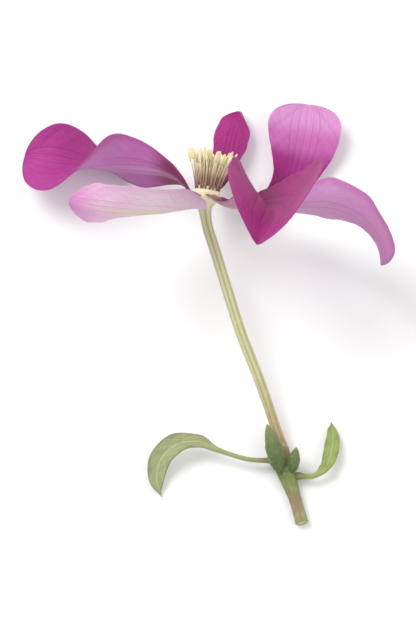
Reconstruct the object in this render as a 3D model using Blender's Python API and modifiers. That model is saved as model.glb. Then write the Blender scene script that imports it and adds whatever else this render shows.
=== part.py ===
"""A clematis flower, picked and laid on its side on a table.

Six tepals, a brush of stamens round the styles, a stalk cut below its node,
and the two small leaves of that node. Units are metres, +Z is up, and the
origin is on the table at the middle of the flower's footprint.
"""
import math
from functools import partial

import bmesh
import bpy
import numpy as np

# The bloom: its centre stands this far above the table, over UNDER_BLOOM,
# and its axis points away along the table, a little up and to the right.
UNDER_BLOOM = np.array([-0.0003, 0.0173, 0.0])
BLOOM_HEIGHT = 0.0103
BLOOM_AXIS = (0.148, 0.949, 0.277)

# Thin pieces. A pressed piece lies on the table with its underside at zero.
BLADE_THICKNESS = 0.0007
PRESSED_DEPTH = 0.00005
ROWS_ALONG_TEPAL = 20
ROWS_ALONG_LEAF = 22
ROWS_ACROSS = 8

# Tepals start beside the receptacle and are narrow there. The fold is a
# keel along the midrib, rounded over FOLD_SOFTNESS of the half width.
TEPAL_START = 0.0028
CLAW_SHARE = 0.11
NARROWEST_HALF = 0.0005
FOLD_SOFTNESS = 0.14
FOLD_FROM = 0.3
RIPPLE_POWER = 2.2
RIPPLE_FADE = 0.6
SPINE_STEPS = 400
LEAF_CUP = 0.35

# Stalk, receptacle, and the ring and boss that stand on the receptacle.
STALK_RADIUS = 0.00085
RECEPTACLE_RADIUS = 0.00225
RECEPTACLE_TOP = 0.0010
SEAT_GAP = 0.0003
RING_INNER_RADIUS = 0.00115
RING_OUTER_RADIUS = 0.00210
RING_HEIGHT = 0.0008

FILAMENT_RADIUS = 0.0003
ANTHER_RADIUS = 0.0005
STYLE_RADIUS = 0.00026
BOSS_RADIUS = 0.00085
BOSS_HEIGHT = 0.0016

# Each tepal leaves the centre at an azimuth round the bloom's axis: 0 is to
# the right, 90 down to the table, 180 to the left and 270 up. Pitch, yaw and
# twist are degrees at four control points from base to tip. Curl is how far
# the blade bends across its width, in radians from midrib to margin. A high
# rise keeps the base narrow for longer, and a high tip_power sharpens the tip.
TEPALS = {
    "tepal_1": dict(azimuth=149.5, length=0.0310, width=0.0136, rise=1.47, tip_power=0.58,
                    pitch=(55, -42, 7, 4), yaw=(-1, 5, 49, 11), twist=(6, 147, -62, -89),
                    curl=(0.19, 0.70, 0.00, 0.25), fold=0.23,
                    wave=0.0008, waves=1.8, wave_start=(0.0, 0.4)),
    "tepal_2": dict(azimuth=230.5, length=0.0311, width=0.0109, rise=0.82, tip_power=0.59,
                    pitch=(-36, -2, -25, 17), yaw=(15, 54, -52, -57), twist=(-22, -6, 33, 48),
                    curl=(0.12, 0.36, 0.38, 0.17), fold=0.26,
                    wave=0.0010, waves=1.6, wave_start=(0.2, 0.6)),
    "tepal_3": dict(azimuth=92, length=0.0220, width=0.0063, rise=1.73, tip_power=0.52,
                    pitch=(20, 43, 53, 104), yaw=(-17, -29, -6, -22), twist=(-13, -15, 4, -34),
                    curl=(0.74, 0.64, 0.33, 1.03), fold=0.12,
                    wave=0.0006, waves=1.5, wave_start=(0.4, 0.8)),
    "tepal_4": dict(azimuth=286.5, length=0.0322, width=0.0153, rise=2.18, tip_power=0.71,
                    pitch=(-35, 46, -32, -52), yaw=(30, 36, -11, -55), twist=(6, -4, 35, -27),
                    curl=(0.43, 0.88, 0.39, 0.57), fold=1.03,
                    wave=0.0006, waves=1.5, wave_start=(0.5, 0.1)),
    "tepal_5": dict(azimuth=38, length=0.0309, width=0.0113, rise=2.32, tip_power=0.36,
                    pitch=(-8, 6, 105, 92), yaw=(-6, 1, 28, 23), twist=(2, 76, 21, 23),
                    curl=(0.01, 0.36, 0.34, 0.16), fold=0.25,
                    wave=0.0009, waves=1.6, wave_start=(0.1, 0.5)),
    "tepal_6": dict(azimuth=348, length=0.0329, width=0.0100, rise=1.17, tip_power=0.48,
                    pitch=(-19, 28, 12, -86), yaw=(1, 12, -45, 26), twist=(12, -21, -47, -7),
                    curl=(0.20, 0.71, 0.63, 0.29), fold=0.26,
                    wave=0.0008, waves=1.6, wave_start=(0.3, 0.9)),
}
TEPAL_COLOURS = {
    "tepal_1": (0.45, 0.075, 0.26),
    "tepal_2": (0.80, 0.55, 0.66),
    "tepal_3": (0.38, 0.040, 0.20),
    "tepal_4": (0.38, 0.045, 0.22),
    "tepal_5": (0.42, 0.060, 0.26),
    "tepal_6": (0.58, 0.300, 0.50),
}

# The stalk's middle line from the cut end to the bloom: x, y, height, radius.
STALK_ROUTE = (
    (0.0158, -0.0544, 0.0010, 0.00100),
    (0.0146, -0.0500, 0.0012, 0.00100),
    (0.0132, -0.0455, 0.0015, 0.00150),
    (0.0126, -0.0422, 0.0019, 0.00120),
    (0.0115, -0.0384, 0.0028, STALK_RADIUS),
    (0.0089, -0.0308, 0.0046, STALK_RADIUS),
    (0.0059, -0.0232, 0.0064, STALK_RADIUS),
    (0.0036, -0.0161, 0.0079, STALK_RADIUS),
    (0.0014, -0.0088, 0.0088, STALK_RADIUS),
    (-0.0001, -0.0042, 0.0093, STALK_RADIUS),
)
# The receptacle widens along the bloom's axis: distance up the axis, radius.
RECEPTACLE = (
    (-0.0026, 0.00095),
    (-0.0014, 0.00135),
    (-0.0006, 0.00200),
    (0.0000, RECEPTACLE_RADIUS),
    (0.0006, RECEPTACLE_RADIUS),
    (RECEPTACLE_TOP, 0.00210),
)

# Each leaf's middle line from the node outward: x, y, height, half width.
LEAVES = {
    "leaf_left": (
        (0.0112, -0.0437, 0.0020, 0.00045),
        (0.0070, -0.0436, 0.0022, 0.00045),
        (0.0022, -0.0422, 0.0026, 0.00050),
        (-0.0012, -0.0408, 0.0030, 0.00110),
        (-0.0048, -0.0412, 0.0030, 0.00170),
        (-0.0074, -0.0434, 0.0022, 0.00185),
        (-0.0082, -0.0466, 0.0012, 0.00135),
        (-0.0074, -0.0496, 0.0003, 0.00030),
    ),
    "leaf_right": (
        (0.0153, -0.0463, 0.0016, 0.00050),
        (0.0178, -0.0464, 0.0019, 0.00050),
        (0.0197, -0.0448, 0.0020, 0.00090),
        (0.0206, -0.0422, 0.0016, 0.00125),
        (0.0209, -0.0393, 0.0010, 0.00105),
        (0.0207, -0.0362, 0.0003, 0.00030),
    ),
}
LEAF_COLOURS = {
    "leaf_left": (0.42, 0.47, 0.25),
    "leaf_right": (0.38, 0.45, 0.16),
}

STALK_COLOUR = (0.50, 0.52, 0.26)
STAMEN_COLOUR = (0.78, 0.72, 0.42)
STYLE_COLOUR = (0.70, 0.72, 0.36)

# Rings of stamens and styles: how many, how far out, lean in degrees, length.
STAMEN_TIERS = ((14, 0.00178, 18, 0.0066), (8, 0.00152, 10, 0.0063))
STYLE_TIERS = ((7, 0.00045, 4, 0.0047), (3, 0.00018, 2, 0.0050))


def unit(vector):
    """Return the vector at length one."""
    vector = np.asarray(vector, dtype=float)
    return vector / np.linalg.norm(vector)


AXIS = unit(BLOOM_AXIS)
RIGHT = unit(np.array([1.0, 0.0, 0.0]) - AXIS[0] * AXIS)
DOWN = np.cross(AXIS, RIGHT)
CENTRE = UNDER_BLOOM + np.array([0.0, 0.0, BLOOM_HEIGHT])


def clear_scene():
    """Remove the objects that the scene opens with."""
    for found in list(bpy.data.objects):
        bpy.data.objects.remove(found, do_unlink=True)


def new_collection(name):
    """Return a new collection in the scene."""
    collection = bpy.data.collections.new(name)
    bpy.context.scene.collection.children.link(collection)
    return collection


def material(name, colour, roughness):
    """Return a plain material of one colour."""
    made = bpy.data.materials.new(name)
    made.use_nodes = True
    shader = made.node_tree.nodes["Principled BSDF"]
    shader.inputs["Base Color"].default_value = (*colour, 1.0)
    shader.inputs["Roughness"].default_value = roughness
    shader.inputs["Metallic"].default_value = 0.0
    return made


def add_object(name, mesh, collection, colour, roughness=0.6):
    """Put a mesh in the scene as one named, smoothly shaded object."""
    made = bpy.data.objects.new(name, mesh)
    mesh.materials.clear()
    mesh.materials.append(material(name, colour, roughness))
    mesh.shade_smooth()
    mesh.set_sharp_from_angle(angle=math.radians(50))
    collection.objects.link(made)
    return made


def control_curve(controls, share):
    """Follow four control values as a cubic curve, share 0 to 1."""
    first, second, third, last = controls
    back = 1.0 - share
    return (first * back**3 + 3 * second * share * back**2
            + 3 * third * share**2 * back + last * share**3)


def smooth_route(points, share):
    """Pass a Catmull-Rom curve through the points, and read it at each share."""
    points = np.asarray(points, dtype=float)
    ends = np.vstack([2 * points[0] - points[1], points, 2 * points[-1] - points[-2]])
    place = np.asarray(share, dtype=float) * (len(points) - 1)
    step = np.minimum(place.astype(int), len(points) - 2)
    t = (place - step)[..., None]
    before, start, stop, after = (ends[step + k] for k in range(4))
    return 0.5 * (2 * start + (stop - before) * t
                  + (2 * before - 5 * start + 4 * stop - after) * t**2
                  + (3 * start - before - 3 * stop + after) * t**3)


def tepal_half_width(tepal, share):
    """Half width from base to tip: a narrow claw, then an oval blade."""
    rise, fall = tepal["rise"], tepal["tip_power"]
    widest = rise / (rise + fall)
    oval = share**rise * (1 - share)**fall / (widest**rise * (1 - widest)**fall)
    return 0.5 * tepal["width"] * (CLAW_SHARE * (1 - share)**4 + oval) + NARROWEST_HALF


def tepal_spine(tepal, share):
    """Middle line and its three directions at each share of the length."""
    fine = np.linspace(0.0, 1.0, SPINE_STEPS + 1)
    pitch, yaw = (np.radians(control_curve(tepal[key], fine)) for key in ("pitch", "yaw"))
    along = np.stack([np.cos(pitch) * np.cos(yaw), np.cos(pitch) * np.sin(yaw), np.sin(pitch)], 1)
    run = np.zeros_like(along)
    run[1:] = np.cumsum(0.5 * (along[1:] + along[:-1]), axis=0) * tepal["length"] / SPINE_STEPS
    run[:, 0] += TEPAL_START
    place, along = (np.stack([np.interp(share, fine, line[:, k]) for k in range(3)], -1)
                    for line in (run, along))
    yaw = np.interp(share, fine, yaw)
    twist = np.radians(control_curve(tepal["twist"], share))[..., None]
    level = np.stack([-np.sin(yaw), np.cos(yaw), 0 * yaw], -1)
    inward = np.cross(along, level)
    across = level * np.cos(twist) + inward * np.sin(twist)
    inward = inward * np.cos(twist) - level * np.sin(twist)
    return place, across, inward


def tepal_points(tepal, share, side):
    """Middle surface of a tepal. Side runs from -1 to 1 across the blade."""
    place, across, inward = tepal_spine(tepal, share)
    half = tepal_half_width(tepal, share)
    curl = control_curve(tepal["curl"], share) + 1e-4
    keel = np.clip(share / FOLD_FROM, 0.0, 1.0) * tepal["fold"]
    out = half * np.sin(curl * side) / curl
    lift = half * (1 - np.cos(curl * side)) / curl
    lift = lift + keel * half * (np.sqrt(side**2 + FOLD_SOFTNESS**2) - FOLD_SOFTNESS)
    start = np.where(side < 0, tepal["wave_start"][0], tepal["wave_start"][1])
    ripple = np.sin(2 * math.pi * (tepal["waves"] * share + start)) * np.abs(side)**RIPPLE_POWER
    lift = lift + tepal["wave"] * np.sin(math.pi * share)**RIPPLE_FADE * ripple
    local = place + across * out[..., None] + inward * lift[..., None]
    azimuth = math.radians(tepal["azimuth"])
    outward = RIGHT * math.cos(azimuth) + DOWN * math.sin(azimuth)
    around = DOWN * math.cos(azimuth) - RIGHT * math.sin(azimuth)
    return CENTRE + local @ np.stack([outward, around, AXIS])


def leaf_points(route, share, side):
    """Middle surface of a leaf: a gently cupped blade along its middle line."""
    middle = smooth_route(route, share)
    ahead = smooth_route(route, np.minimum(share + 0.01, 1.0))
    behind = smooth_route(route, np.maximum(share - 0.01, 0.0))
    along = ahead[..., :3] - behind[..., :3]
    across = np.cross(along, np.array([0.0, 0.0, 1.0]))
    across = across / np.linalg.norm(across, axis=-1, keepdims=True)
    half = middle[..., 3]
    place = middle[..., :3] + across * (side * half)[..., None]
    place[..., 2] += LEAF_CUP * half * side**2
    return UNDER_BLOOM + place


def press_on_table(points):
    """Bend the middle surface up where it would sink into the table."""
    pressed = points.copy()
    lowest = 0.5 * BLADE_THICKNESS - PRESSED_DEPTH
    pressed[..., 2] = np.maximum(pressed[..., 2], lowest)
    return pressed


def flatten_underside(mesh):
    """Make the pressed spots one level face at the table."""
    for vertex in mesh.vertices:
        vertex.co.z = max(vertex.co.z, 0.0)


def evaluated_mesh(made):
    """Return the object's mesh with its modifiers applied, in world space."""
    graph = bpy.context.evaluated_depsgraph_get()
    mesh = bpy.data.meshes.new_from_object(made.evaluated_get(graph))
    mesh.transform(made.matrix_world)
    return mesh


def closer_at_tip(even):
    """Shares of the length whose steps grow shorter towards the tip."""
    return 0.5 * even + 0.5 * np.sin(0.5 * math.pi * even)


def add_blade(name, surface, rows, collection, colour):
    """Bend a flat grid to a surface and give it thickness."""
    grid = bmesh.new()
    bmesh.ops.create_grid(grid, x_segments=ROWS_ACROSS, y_segments=rows, size=0.5)
    flat = np.array([vertex.co[:] for vertex in grid.verts])
    bent = press_on_table(surface(closer_at_tip(flat[:, 1] + 0.5), 2 * flat[:, 0]))
    for vertex, place in zip(grid.verts, bent):
        vertex.co = place
    bmesh.ops.triangulate(grid, faces=grid.faces[:])
    sheet = bpy.data.meshes.new(name + "_sheet")
    grid.to_mesh(sheet)
    grid.free()
    draft = bpy.data.objects.new(name + "_draft", sheet)
    collection.objects.link(draft)
    shell = draft.modifiers.new("thickness", "SOLIDIFY")
    shell.thickness = BLADE_THICKNESS
    shell.offset = 0.0
    mesh = evaluated_mesh(draft)
    bpy.data.objects.remove(draft, do_unlink=True)
    flatten_underside(mesh)
    return add_object(name, mesh, collection, colour)


def tube_mesh(name, points, sides=8):
    """Sweep a circle along points of x, y, z and radius, with welded ends."""
    curve = bpy.data.curves.new(name, "CURVE")
    curve.dimensions = "3D"
    curve.bevel_depth = 0.001
    curve.bevel_resolution = sides // 2 - 2
    curve.use_fill_caps = True
    line = curve.splines.new("POLY")
    line.points.add(len(points) - 1)
    for point, (x, y, z, radius) in zip(line.points, points):
        point.co = (x, y, z, 1.0)
        point.radius = radius / curve.bevel_depth
    swept = bpy.data.objects.new(name + "_curve", curve)
    bpy.context.scene.collection.objects.link(swept)
    mesh = evaluated_mesh(swept)
    bpy.data.objects.remove(swept, do_unlink=True)
    solid = bmesh.new()
    solid.from_mesh(mesh)
    bmesh.ops.remove_doubles(solid, verts=solid.verts[:], dist=0.00001)
    solid.to_mesh(mesh)
    solid.free()
    return mesh


def on_bloom(out, turn, up):
    """A point by its distance from the bloom's axis, its turn, and its height."""
    return CENTRE + AXIS * up + (RIGHT * math.cos(turn) + DOWN * math.sin(turn)) * out


def add_stalk(collection):
    """Stalk with its node, widening into the receptacle under the tepals."""
    stem = smooth_route(STALK_ROUTE, np.linspace(0.0, 1.0, 34))
    stem[:, :3] += UNDER_BLOOM
    top = [(*(CENTRE + AXIS * up), radius) for up, radius in RECEPTACLE]
    mesh = tube_mesh("stalk", np.vstack([stem, top]), sides=12)
    flatten_underside(mesh)
    return add_object("stalk", mesh, collection, STALK_COLOUR, roughness=0.5)


def leaning_rod(out, turn, lean, length, start, profile):
    """Points of one rod that leans outward. Profile is share and radius."""
    foot = on_bloom(out, turn, start)
    away = unit(on_bloom(math.sin(lean), turn, math.cos(lean)) - CENTRE)
    return [(*(foot + away * length * share), radius) for share, radius in profile]


def tier_rods(tiers, start, profile):
    """Points of every rod in rings round the bloom's axis."""
    spread = np.random.default_rng(7)
    rods = []
    for ring, (count, out, lean, length) in enumerate(tiers):
        for number in range(count):
            turn = 2 * math.pi * (number + 0.5 * ring) / count
            tilt = math.radians(lean + spread.uniform(-2.0, 2.0))
            reach = length * spread.uniform(0.93, 1.05)
            rods.append(leaning_rod(out, turn, tilt, reach, start, profile))
    return rods


def join_to(base, rods, sides):
    """Unite the rods with their base by one union, as one body."""
    loose = new_collection(base.name + "_rods")
    for number, points in enumerate(rods):
        mesh = tube_mesh(f"{base.name}_rod_{number}", points, sides)
        loose.objects.link(bpy.data.objects.new(mesh.name, mesh))
    union = base.modifiers.new("union", "BOOLEAN")
    union.operation = "UNION"
    union.operand_type = "COLLECTION"
    union.collection = loose
    union.solver = "EXACT"
    mesh = evaluated_mesh(base)
    for rod in list(loose.objects):
        bpy.data.objects.remove(rod, do_unlink=True)
    bpy.data.collections.remove(loose)
    bpy.data.objects.remove(base, do_unlink=True)
    return mesh


def bloom_cylinder(name, radius, bottom, top, sides, top_radius=None):
    """A closed cylinder or cone round the bloom's axis."""
    solid = bmesh.new()
    bmesh.ops.create_cone(solid, cap_ends=True, cap_tris=False, segments=sides, radius1=radius,
                          radius2=radius if top_radius is None else top_radius, depth=top - bottom)
    middle = 0.5 * (bottom + top)
    for vertex in solid.verts:
        x, y, z = vertex.co
        vertex.co = CENTRE + RIGHT * x + DOWN * y + AXIS * (z + middle)
    mesh = bpy.data.meshes.new(name)
    solid.to_mesh(mesh)
    solid.free()
    return bpy.data.objects.new(name, mesh)


def add_stamens(collection):
    """Stamens on one ring that stands on the receptacle round the styles."""
    bottom = RECEPTACLE_TOP + SEAT_GAP
    top = bottom + RING_HEIGHT
    ring = bloom_cylinder("stamen_ring", RING_OUTER_RADIUS, bottom, top, 20)
    hole = bloom_cylinder("ring_hole", RING_INNER_RADIUS, bottom - RING_HEIGHT, top + RING_HEIGHT, 14)
    for piece in (ring, hole):
        collection.objects.link(piece)
    cut = ring.modifiers.new("hole", "BOOLEAN")
    cut.operation = "DIFFERENCE"
    cut.object = hole
    cut.solver = "EXACT"
    profile = ((0.0, FILAMENT_RADIUS), (0.66, FILAMENT_RADIUS), (0.72, ANTHER_RADIUS),
               (0.92, ANTHER_RADIUS), (1.0, 0.6 * ANTHER_RADIUS))
    rods = tier_rods(STAMEN_TIERS, bottom + 0.2 * RING_HEIGHT, profile)
    mesh = join_to(ring, rods, sides=6)
    bpy.data.objects.remove(hole, do_unlink=True)
    return add_object("stamens", mesh, collection, STAMEN_COLOUR)


def add_styles(collection):
    """Styles in a tight bundle on the boss in the middle of the stamens."""
    bottom = RECEPTACLE_TOP + SEAT_GAP
    boss = bloom_cylinder("boss", BOSS_RADIUS, bottom, bottom + BOSS_HEIGHT, 14, 0.7 * BOSS_RADIUS)
    collection.objects.link(boss)
    profile = ((0.0, STYLE_RADIUS), (0.85, STYLE_RADIUS), (1.0, 0.6 * STYLE_RADIUS))
    rods = tier_rods(STYLE_TIERS, bottom + 0.4 * BOSS_HEIGHT, profile)
    return add_object("pistils", join_to(boss, rods, sides=6), collection, STYLE_COLOUR)


def main():
    """Build every sub-part of the flower."""
    clear_scene()
    flower = new_collection("clematis_flower")
    add_stalk(flower)
    for name, tepal in TEPALS.items():
        surface = partial(tepal_points, tepal)
        add_blade(name, surface, ROWS_ALONG_TEPAL, flower, TEPAL_COLOURS[name])
    add_stamens(flower)
    add_styles(flower)
    for name, route in LEAVES.items():
        surface = partial(leaf_points, route)
        add_blade(name, surface, ROWS_ALONG_LEAF, flower, LEAF_COLOURS[name])


main()
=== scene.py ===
import math

import bpy
import numpy as np
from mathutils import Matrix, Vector


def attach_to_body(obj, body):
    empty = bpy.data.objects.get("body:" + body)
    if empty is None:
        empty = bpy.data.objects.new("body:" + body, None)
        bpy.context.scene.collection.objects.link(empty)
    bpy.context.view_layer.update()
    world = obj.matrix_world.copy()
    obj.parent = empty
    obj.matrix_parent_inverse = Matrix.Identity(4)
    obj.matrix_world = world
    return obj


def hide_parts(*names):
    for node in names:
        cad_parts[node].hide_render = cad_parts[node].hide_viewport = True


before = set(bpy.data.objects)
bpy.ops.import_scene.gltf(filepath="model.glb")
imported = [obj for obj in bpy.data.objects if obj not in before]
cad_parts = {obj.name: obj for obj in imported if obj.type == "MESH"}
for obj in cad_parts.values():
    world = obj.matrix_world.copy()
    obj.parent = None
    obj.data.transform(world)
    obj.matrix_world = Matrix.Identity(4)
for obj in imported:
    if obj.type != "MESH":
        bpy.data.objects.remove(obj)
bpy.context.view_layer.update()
print("Clematis flower: the packed solids are loaded")


# Small helpers. All of them work on whole arrays of points.

# Length one: vector / |vector|.
def unit(vector):
    vector = np.asarray(vector, dtype=float)
    return vector / np.linalg.norm(vector, axis=-1, keepdims=True)


# Smooth step: 0 before start, 1 after end, 3t^2 - 2t^3 between.
def fadeIn(value, start, end):
    t = np.clip((value - start) / (end - start), 0.0, 1.0)
    return t * t * (3.0 - 2.0 * t)


# A soft peak: exp(-(value / width)^2).
def peak(value, width):
    return np.exp(-(value / width) ** 2)


# Four control values followed as one cubic curve, share 0 to 1.
def controlCurve(controls, share):
    first, second, third, last = controls
    back = 1.0 - share
    return (first * back**3 + 3 * second * share * back**2
            + 3 * third * share**2 * back + last * share**3)


# A Catmull-Rom curve through the points, which stand at equal steps of share from 0 to 1.
def smoothRoute(points, share):
    points = np.asarray(points, dtype=float)
    ends = np.vstack([2 * points[0] - points[1], points, 2 * points[-1] - points[-2]])
    place = np.clip(share, 0.0, 1.0) * (len(points) - 1)
    step = np.minimum(place.astype(int), len(points) - 2)
    t = (place - step)[..., None]
    before, start, stop, after = (ends[step + k] for k in range(4))
    return 0.5 * (2 * start + (stop - before) * t
                  + (2 * before - 5 * start + 4 * stop - after) * t**2
                  + (3 * start - before - 3 * stop + after) * t**3)


# Smooth repeatable unevenness between -1 and 1: three sines of unlike pitch.
def uneven(value, seed):
    return (np.sin(value + seed * 1.7) + 0.6 * np.sin(value * 2.3 + seed * 4.1)
            + 0.4 * np.sin(value * 4.9 + seed * 2.9)) / 2.0


# Angles of the points of a ring: full turn * k / sides.
def ringTurns(sides):
    return 2 * math.pi * np.arange(sides) / sides


# The bloom's centre, at a height over a point of the table, and its own directions: along its
# axis, to the right, and down to the table.
bloom = dict(under=(-0.0003, 0.0173, 0.0), height=0.0103, axis=(0.148, 0.949, 0.277))
upward = np.array([0.0, 0.0, 1.0])
under = np.array(bloom["under"])
centre = under + bloom["height"] * upward
axis = unit(bloom["axis"])
right = unit(np.array([1.0, 0.0, 0.0]) - axis[0] * axis)
down = np.cross(axis, right)


# Away from the bloom's axis at a turn round it: right * cos(turn) + down * sin(turn).
def awayFromAxis(turn):
    turn = np.asarray(turn)[..., None]
    return right * np.cos(turn) + down * np.sin(turn)


# Closed shells from a grid of rings: count shells, rows rings each, sides points a ring, none of
# them below the table. Neighbouring rings are joined by quads, and a point in the middle of each
# end ring closes it. Up to three values for the material are stored at each point.
def shellMesh(name, points, *values):
    marks = np.zeros(points.shape)
    for k, value in enumerate(values):
        marks[..., k] = value
    points[..., 2] = np.maximum(points[..., 2], 0.0)
    count, rows, sides, _ = points.shape
    index = np.arange(count * rows * sides).reshape(count, rows, sides)
    after = np.roll(index, -1, axis=2)
    quads = np.stack([index[:, :-1], after[:, :-1], after[:, 1:], index[:, 1:]], -1).reshape(-1, 4)
    firstPole = index.size + np.arange(count)[:, None] + np.zeros(sides, dtype=int)
    caps = np.concatenate([
        np.stack([firstPole, after[:, 0], index[:, 0]], -1).reshape(-1, 3),
        np.stack([firstPole + count, index[:, -1], after[:, -1]], -1).reshape(-1, 3)])
    places, marks = (np.concatenate([grid.reshape(-1, 3), grid[:, 0].mean(1), grid[:, -1].mean(1)])
                     for grid in (points, marks))
    corners = places[np.concatenate([quads[:, :3], quads[:, [0, 2, 3]], caps])]
    if np.einsum("ij,ij->", corners[:, 0], np.cross(corners[:, 1], corners[:, 2])) < 0:
        quads, caps = quads[:, ::-1], caps[:, ::-1]      # the rings ran the other way round
    mesh = bpy.data.meshes.new(name)
    mesh.vertices.add(len(places))
    mesh.vertices.foreach_set("co", places.ravel())
    mesh.loops.add(quads.size + caps.size)
    mesh.loops.foreach_set("vertex_index", np.concatenate([quads.ravel(), caps.ravel()]))
    mesh.polygons.add(len(quads) + len(caps))
    starts = np.concatenate([np.arange(len(quads)) * 4, quads.size + np.arange(len(caps)) * 3])
    mesh.polygons.foreach_set("loop_start", starts)
    mesh.update(calc_edges=True)
    mesh.shade_smooth()
    mark = mesh.attributes.new("surfaceMap", "FLOAT_VECTOR", "POINT")
    mark.data.foreach_set("vector", marks.ravel())
    return mesh


# Puts a mesh, a light or a camera into the scene.
def placed(name, data):
    made = bpy.data.objects.new(name, data)
    bpy.context.scene.collection.objects.link(made)
    return made


# Joins meshes made by shellMesh into one object, gives it its finish and tells the frame.
def addPiece(name, meshes, material, node=None):
    parts = [placed(name, mesh) for mesh in meshes]
    made = parts[0]
    if len(parts) > 1:
        with bpy.context.temp_override(active_object=made, selected_editable_objects=parts):
            bpy.ops.object.join()
    made.data.materials.clear()
    made.data.materials.append(material)
    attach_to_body(made, "root")
    if node:
        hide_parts(node)


# A profile carried along paths. Each ring point is
# path + across * wide * cos(turn) + up * thick * sin(turn), where across is square to the path
# and to facing, and up is square to across and the path.
def carryProfile(path, wide, thick, facing, sides):
    along = unit(np.gradient(path, axis=-2))
    across = unit(np.cross(along, facing))
    up = np.cross(across, along)
    turn = ringTurns(sides)
    return (path[..., None, :] + across[..., None, :] * (wide * np.cos(turn))[..., None]
            + up[..., None, :] * (thick * np.sin(turn))[..., None])


# Node helpers. A value is a number, a vector, or the output of another node, and a new node goes
# into the tree that one of its values comes from. Colours are screen colours, 0 to 255 in each
# channel. A run of colours has the place of each, from 0 to 1, before it, and a tint has after
# it where it starts, where it is full and how much of it there is.

# The linear colour for a screen colour: c / 12.92 where c is dark, else ((c + 0.055) / 1.055)^2.4.
def linearColour(*channels):
    value = np.array(channels) / 255.0
    linear = np.where(value <= 0.04045, value / 12.92, ((value + 0.055) / 1.055) ** 2.4)
    return (*linear.tolist(), 1.0)


# Whether a value is the output of a node.
def isOutput(value):
    return isinstance(value, bpy.types.NodeSocket)


# Links an output to a socket, or sets the socket.
def fill(socket, value):
    if isOutput(value):
        socket.id_data.links.new(value, socket)
    else:
        socket.default_value = value


# Adds a node, sets its facts, and fills its sockets by name.
def addNode(kind, sockets, **facts):
    tree = next(value.id_data for value in sockets.values() if isOutput(value))
    node = tree.nodes.new(kind)
    for key, value in facts.items():
        setattr(node, key, value)
    for key, value in sockets.items():
        fill(next(s for s in node.inputs if s.enabled and s.name == key), value)
    return node


# Arithmetic on values from left to right, or one step, such as ABSOLUTE, on one value.
def calc(operation, first, *others):
    tree = next(value.id_data for value in (first, *others) if isOutput(value))
    for other in others or (0.0,):
        node = tree.nodes.new("ShaderNodeMath")
        node.operation = operation
        fill(node.inputs[0], first)
        fill(node.inputs[1], other)
        first = node.outputs[0]
    return first


# The product of some values.
def times(*values):
    return calc("MULTIPLY", *values)


# The sum of some values.
def plus(*values):
    return calc("ADD", *values)


# Smooth step in nodes: 0 at start, reach at end.
def nodeFade(value, start, end, reach=1.0):
    return addNode("ShaderNodeMapRange", {
        "Value": value, "From Min": start, "From Max": end, "To Min": 0.0, "To Max": reach,
    }, interpolation_type="SMOOTHSTEP").outputs[0]


# Mix of two colours: first where amount is 0, second where it is 1.
def mixed(first, second, amount, blend="MIX"):
    first, second = (value if isOutput(value) else linearColour(*value) for value in (first, second))
    node = addNode("ShaderNodeMix", {"Factor": amount, "A": first, "B": second},
                   data_type="RGBA", blend_type=blend)
    return next(s for s in node.outputs if s.enabled)


# A colour multiplied by a tint.
def shaded(colour, tint):
    return mixed(colour, tint, 1.0, "MULTIPLY")


# A tint laid over a colour: none where value is at start, amount of it where value is at full.
def tinted(colour, value, tint, start, full, amount=1.0, within=1.0):
    cover = nodeFade(value, start, full, amount)
    return mixed(colour, tint, times(cover, within) if isOutput(within) else cover)


# The colour at a value from 0 to 1 in a run of colours.
def colourRun(value, stops):
    node = addNode("ShaderNodeValToRGB", {"Fac": value})
    elements = node.color_ramp.elements
    node.color_ramp.interpolation = "EASE"
    while len(elements) < len(stops):
        elements.new(0.5)
    for element, (place, *colour) in zip(elements, stops):
        element.position = place
        element.color = linearColour(*colour)
    return node.outputs["Color"]


# Two marks as coordinates on the skin, each times its own scale.
def skinPlace(first, second, scales):
    flat = addNode("ShaderNodeCombineXYZ", {"X": first, "Y": second}).outputs[0]
    return addNode("ShaderNodeMapping", {"Vector": flat, "Scale": (*scales, 1.0)}).outputs[0]


# Noise at a place, as a value round 0.5.
def noiseOn(place, scale=1.0, detail=3.0):
    return addNode("ShaderNodeTexNoise", {
        "Vector": place, "Scale": scale, "Detail": detail, "Roughness": 0.5}).outputs["Fac"]


# Lines where value is a whole number of gaps: reach on a line, 0 from width away on.
def linesAt(value, gap, width, reach=1.0):
    return nodeFade(calc("PINGPONG", value, 0.5 * gap), width, 0.0, reach)


# A net of lines between cells: reach on a line, 0 from width away on, in parts of a cell.
def netOn(place, scale, width, reach):
    cells = addNode("ShaderNodeTexVoronoi", {"Vector": place, "Scale": scale},
                    feature="DISTANCE_TO_EDGE")
    return nodeFade(cells.outputs[0], width, 0.0, reach)


# A new material, with the place on the object and the three values stored by shellMesh.
def startMaterial(name):
    made = bpy.data.materials.new(name)
    made.use_nodes = True
    nodes = made.node_tree.nodes
    place = nodes.new("ShaderNodeTexCoord").outputs["Object"]
    mark = nodes.new("ShaderNodeAttribute")
    mark.attribute_name = "surfaceMap"
    split = addNode("ShaderNodeSeparateXYZ", {"Vector": mark.outputs["Vector"]})
    return made, place, *split.outputs


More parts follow.
